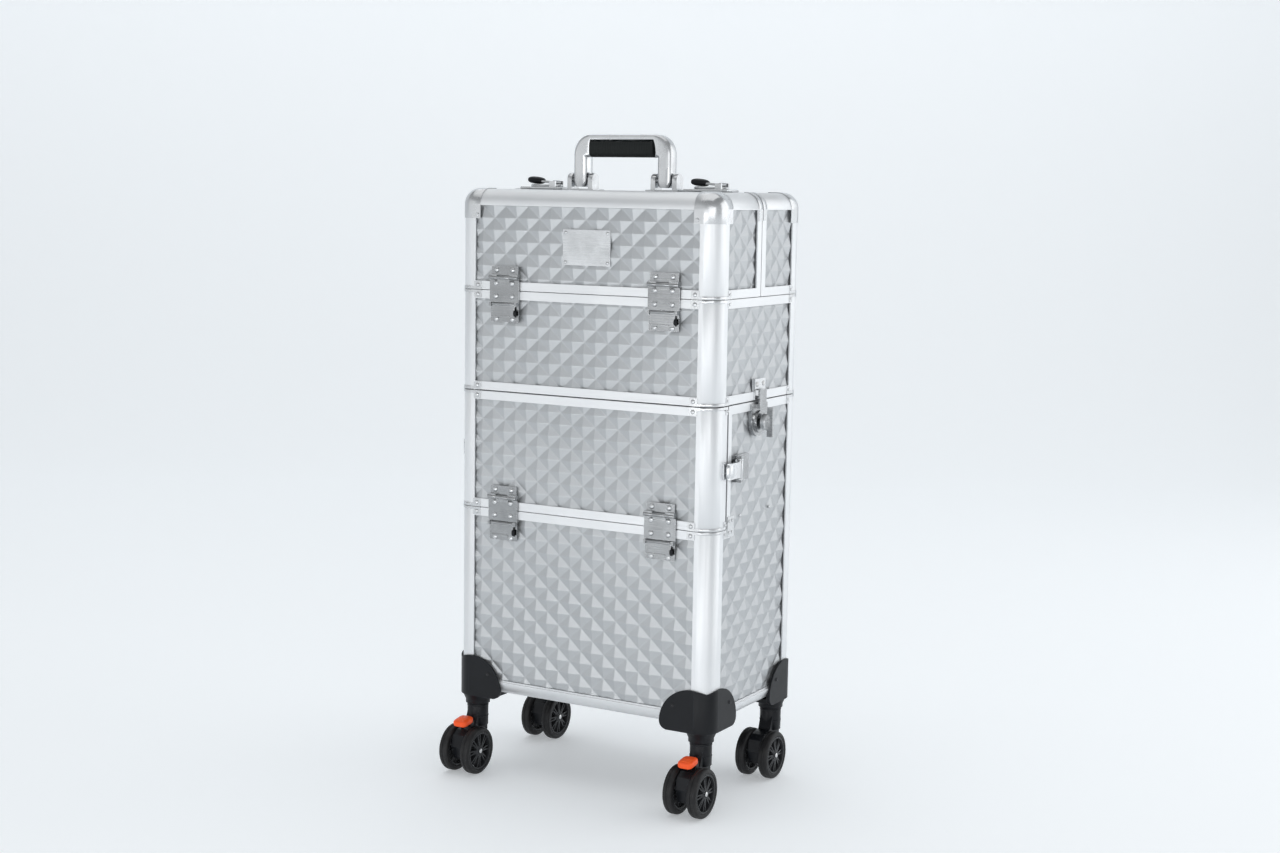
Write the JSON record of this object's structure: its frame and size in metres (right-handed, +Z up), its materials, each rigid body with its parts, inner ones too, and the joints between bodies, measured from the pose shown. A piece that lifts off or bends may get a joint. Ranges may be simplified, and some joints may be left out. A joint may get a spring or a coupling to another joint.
{
  "type": "makeup train case",
  "caption": "Rolling makeup train case: split-lid cosmetic case with fold-out trays, latched on a trolley box with a drop-down front door, pull handle and swivel casters.",
  "frame": {"origin": "on the floor under the middle of the case, with the wheels resting on the floor", "axes": "+X to the case's right side, +Y to its back, +Z up; the door and badge face -Y"},
  "size_m": [0.378, 0.28, 0.755],
  "materials": {
    "panel": "embossed silver laminate",
    "extrusion": "satin anodised",
    "chrome": "bright plated",
    "nickel": "satin nickel plate",
    "lining": "black felt lining",
    "tray": "black tray lining",
    "black_plastic": "fine moulded grain",
    "grip": "soft grip",
    "caster": "fine moulded grain",
    "brake": "orange moulded plastic"
  },
  "bodies": {
    "trolley": {"trolley_panels": "panel", "trolley_frame": "extrusion", "trolley_clips": "chrome", "door_hinge_bases": "nickel", "side_hardware_bases": "chrome", "caster_brackets": "black_plastic", "pull_handle_outer_tubes": "chrome"},
    "shelf": {"lift_out_shelf": "lining"},
    "door": {"door_panel": "panel", "door_frame": "extrusion", "door_clips": "chrome", "door_hinge_leaves": "nickel"},
    "door_release_lever_left": {"door_release_lever_left": "nickel"},
    "door_release_lever_right": {"door_release_lever_right": "nickel"},
    "side_latch_wing_left": {"side_latch_wing_left": "chrome"},
    "side_latch_wing_right": {"side_latch_wing_right": "chrome"},
    "door_catch_left": {"door_catch_left": "chrome"},
    "door_catch_right": {"door_catch_right": "chrome"},
    "train_case": {"train_case_panels": "panel", "train_case_frame": "extrusion", "train_case_chrome": "chrome", "train_case_lining": "lining", "lid_hinge_bases": "nickel"},
    "lid_release_lever_left": {"lid_release_lever_left": "nickel"},
    "lid_release_lever_right": {"lid_release_lever_right": "nickel"},
    "front_lid": {"front_lid_panels": "panel", "front_lid_frame": "extrusion", "front_lid_chrome": "chrome", "front_lid_hinge_leaves": "nickel", "badge_plate": "nickel", "handle_brackets": "chrome", "lock_bases": "chrome"},
    "rear_lid": {"rear_lid_panels": "panel", "rear_lid_frame": "extrusion", "rear_lid_chrome": "chrome", "rear_lid_hinge_leaves": "nickel"},
    "carry_handle": {"carry_handle": "chrome", "carry_handle_grip": "grip"},
    "lock_lever_left": {"lock_lever_left": "chrome"},
    "lock_lever_right": {"lock_lever_right": "chrome"},
    "front_tray_outer_arms": {"front_tray_outer_arms": "nickel"},
    "front_tray_inner_arms": {"front_tray_inner_arms": "nickel"},
    "front_tray": {"front_tray": "tray"},
    "rear_tray_outer_arms": {"rear_tray_outer_arms": "nickel"},
    "rear_tray_inner_arms": {"rear_tray_inner_arms": "nickel"},
    "rear_tray": {"rear_tray": "tray"},
    "pull_handle_middle_stage": {"pull_handle_middle_tubes": "chrome"},
    "pull_handle_top_stage": {"pull_handle_inner_tubes": "chrome", "pull_handle_grip": "grip"},
    "pull_handle_button": {"pull_handle_button": "black_plastic"},
    "caster_swivel_front_left": {"caster_fork_front_left": "caster"},
    "caster_wheels_front_left": {"caster_wheels_front_left": "caster"},
    "brake_pedal_front_left": {"brake_pedal_front_left": "brake"},
    "caster_swivel_front_right": {"caster_fork_front_right": "caster"},
    "caster_wheels_front_right": {"caster_wheels_front_right": "caster"},
    "brake_pedal_front_right": {"brake_pedal_front_right": "brake"},
    "caster_swivel_rear_left": {"caster_fork_rear_left": "caster"},
    "caster_wheels_rear_left": {"caster_wheels_rear_left": "caster"},
    "caster_swivel_rear_right": {"caster_fork_rear_right": "caster"},
    "caster_wheels_rear_right": {"caster_wheels_rear_right": "caster"}
  },
  "joints": [
    {"name": "train_case_lift", "type": "slide", "parent": "trolley", "child": "train_case", "axis": [0, 0, 1], "range_m": [0, 0.15]},
    {"name": "shelf_lift", "type": "slide", "parent": "trolley", "child": "shelf", "axis": [0, 0, 1], "range_m": [0, 0.09]},
    {"name": "door_open", "type": "hinge", "parent": "trolley", "child": "door", "pos_m": [0, -0.109, 0.335], "axis": [1, 0, 0], "range_deg": [0, 95]},
    {"name": "door_lever_left", "type": "hinge", "parent": "trolley", "child": "door_release_lever_left", "pos_m": [-0.105, -0.109, 0.3045], "axis": [-1, 0, 0], "range_deg": [0, 100]},
    {"name": "lid_lever_left", "type": "hinge", "parent": "train_case", "child": "lid_release_lever_left", "pos_m": [-0.105, -0.109, 0.5595], "axis": [-1, 0, 0], "range_deg": [0, 100]},
    {"name": "side_latch_left", "type": "hinge", "parent": "trolley", "child": "side_latch_wing_left", "pos_m": [-0.18, 0, 0.434], "axis": [1, 0, 0], "range_deg": [0, 180]},
    {"name": "door_catch_left", "type": "hinge", "parent": "trolley", "child": "door_catch_left", "pos_m": [-0.1765, -0.0545, 0.386], "axis": [0, 0, -1], "range_deg": [0, 100]},
    {"name": "lock_left", "type": "hinge", "parent": "front_lid", "child": "lock_lever_left", "pos_m": [-0.094, -0.015, 0.6985], "axis": [0, 1, 0], "range_deg": [0, 60]},
    {"name": "door_lever_right", "type": "hinge", "parent": "trolley", "child": "door_release_lever_right", "pos_m": [0.105, -0.109, 0.3045], "axis": [-1, 0, 0], "range_deg": [0, 100]},
    {"name": "lid_lever_right", "type": "hinge", "parent": "train_case", "child": "lid_release_lever_right", "pos_m": [0.105, -0.109, 0.5595], "axis": [-1, 0, 0], "range_deg": [0, 100]},
    {"name": "side_latch_right", "type": "hinge", "parent": "trolley", "child": "side_latch_wing_right", "pos_m": [0.18, 0, 0.434], "axis": [1, 0, 0], "range_deg": [0, 180]},
    {"name": "door_catch_right", "type": "hinge", "parent": "trolley", "child": "door_catch_right", "pos_m": [0.1765, -0.0545, 0.386], "axis": [0, 0, 1], "range_deg": [0, 100]},
    {"name": "lock_right", "type": "hinge", "parent": "front_lid", "child": "lock_lever_right", "pos_m": [0.126, -0.015, 0.6985], "axis": [0, 1, 0], "range_deg": [0, 60]},
    {"name": "front_lid_open", "type": "hinge", "parent": "train_case", "child": "front_lid", "pos_m": [0, -0.109, 0.59], "axis": [1, 0, 0], "range_deg": [0, 100]},
    {"name": "rear_lid_open", "type": "hinge", "parent": "train_case", "child": "rear_lid", "pos_m": [0, 0.109, 0.59], "axis": [1, 0, 0], "range_deg": [-100, 0]},
    {"name": "carry_handle_fold", "type": "hinge", "parent": "front_lid", "child": "carry_handle", "pos_m": [0, -0.017, 0.703], "axis": [1, 0, 0], "range_deg": [0, 85]},
    {"name": "front_tray_outer_arms", "type": "hinge", "parent": "train_case", "child": "front_tray_outer_arms", "pos_m": [0, -0.082, 0.566], "axis": [1, 0, 0], "range_deg": [0, 70]},
    {"name": "front_tray_inner_arms", "type": "hinge", "parent": "train_case", "child": "front_tray_inner_arms", "pos_m": [0, -0.06, 0.566], "axis": [1, 0, 0], "range_deg": [0, 70]},
    {"name": "front_tray_level", "type": "hinge", "parent": "front_tray_outer_arms", "child": "front_tray", "pos_m": [0, -0.03004, 0.596], "axis": [1, 0, 0], "range_deg": [-70, 0]},
    {"name": "rear_tray_outer_arms", "type": "hinge", "parent": "train_case", "child": "rear_tray_outer_arms", "pos_m": [0, 0.082, 0.566], "axis": [1, 0, 0], "range_deg": [-70, 0]},
    {"name": "rear_tray_inner_arms", "type": "hinge", "parent": "train_case", "child": "rear_tray_inner_arms", "pos_m": [0, 0.06, 0.566], "axis": [1, 0, 0], "range_deg": [-70, 0]},
    {"name": "rear_tray_level", "type": "hinge", "parent": "rear_tray_outer_arms", "child": "rear_tray", "pos_m": [0, 0.03004, 0.596], "axis": [1, 0, 0], "range_deg": [0, 70]},
    {"name": "pull_handle_middle", "type": "slide", "parent": "trolley", "child": "pull_handle_middle_stage", "axis": [0, 0, 1], "range_m": [0, 0.28]},
    {"name": "pull_handle_top", "type": "slide", "parent": "pull_handle_middle_stage", "child": "pull_handle_top_stage", "axis": [0, 0, 1], "range_m": [0, 0.28]},
    {"name": "pull_handle_button_press", "type": "slide", "parent": "pull_handle_top_stage", "child": "pull_handle_button", "axis": [0, 0, -1], "range_m": [0, 0.003], "stiffness_N_per_m": 300},
    {"name": "caster_swivel_front_left", "type": "hinge", "parent": "trolley", "child": "caster_swivel_front_left", "pos_m": [-0.152, -0.088, 0.08], "axis": [0, 0, 1], "continuous": true},
    {"name": "caster_roll_front_left", "type": "hinge", "parent": "caster_swivel_front_left", "child": "caster_wheels_front_left", "pos_m": [-0.152, -0.112, 0.028], "axis": [1, 0, 0], "continuous": true},
    {"name": "brake_front_left", "type": "hinge", "parent": "caster_swivel_front_left", "child": "brake_pedal_front_left", "pos_m": [-0.152, -0.11, 0.06], "axis": [1, 0, 0], "range_deg": [0, 10]},
    {"name": "caster_swivel_front_right", "type": "hinge", "parent": "trolley", "child": "caster_swivel_front_right", "pos_m": [0.152, -0.088, 0.08], "axis": [0, 0, 1], "continuous": true},
    {"name": "caster_roll_front_right", "type": "hinge", "parent": "caster_swivel_front_right", "child": "caster_wheels_front_right", "pos_m": [0.152, -0.112, 0.028], "axis": [1, 0, 0], "continuous": true},
    {"name": "brake_front_right", "type": "hinge", "parent": "caster_swivel_front_right", "child": "brake_pedal_front_right", "pos_m": [0.152, -0.11, 0.06], "axis": [1, 0, 0], "range_deg": [0, 10]},
    {"name": "caster_swivel_rear_left", "type": "hinge", "parent": "trolley", "child": "caster_swivel_rear_left", "pos_m": [-0.152, 0.088, 0.08], "axis": [0, 0, 1], "continuous": true},
    {"name": "caster_roll_rear_left", "type": "hinge", "parent": "caster_swivel_rear_left", "child": "caster_wheels_rear_left", "pos_m": [-0.152, 0.064, 0.028], "axis": [1, 0, 0], "continuous": true},
    {"name": "caster_swivel_rear_right", "type": "hinge", "parent": "trolley", "child": "caster_swivel_rear_right", "pos_m": [0.152, 0.088, 0.08], "axis": [0, 0, 1], "continuous": true},
    {"name": "caster_roll_rear_right", "type": "hinge", "parent": "caster_swivel_rear_right", "child": "caster_wheels_rear_right", "pos_m": [0.152, 0.064, 0.028], "axis": [1, 0, 0], "continuous": true}
  ],
  "couplings": [
    {"joint": "front_tray_outer_arms", "follows": "front_lid_open", "ratio": 0.7},
    {"joint": "front_tray_inner_arms", "follows": "front_lid_open", "ratio": 0.7},
    {"joint": "front_tray_level", "follows": "front_lid_open", "ratio": -0.7},
    {"joint": "rear_tray_outer_arms", "follows": "rear_lid_open", "ratio": 0.7},
    {"joint": "rear_tray_inner_arms", "follows": "rear_lid_open", "ratio": 0.7},
    {"joint": "rear_tray_level", "follows": "rear_lid_open", "ratio": -0.7},
    {"joint": "pull_handle_top", "follows": "pull_handle_middle", "ratio": 1}
  ]
}
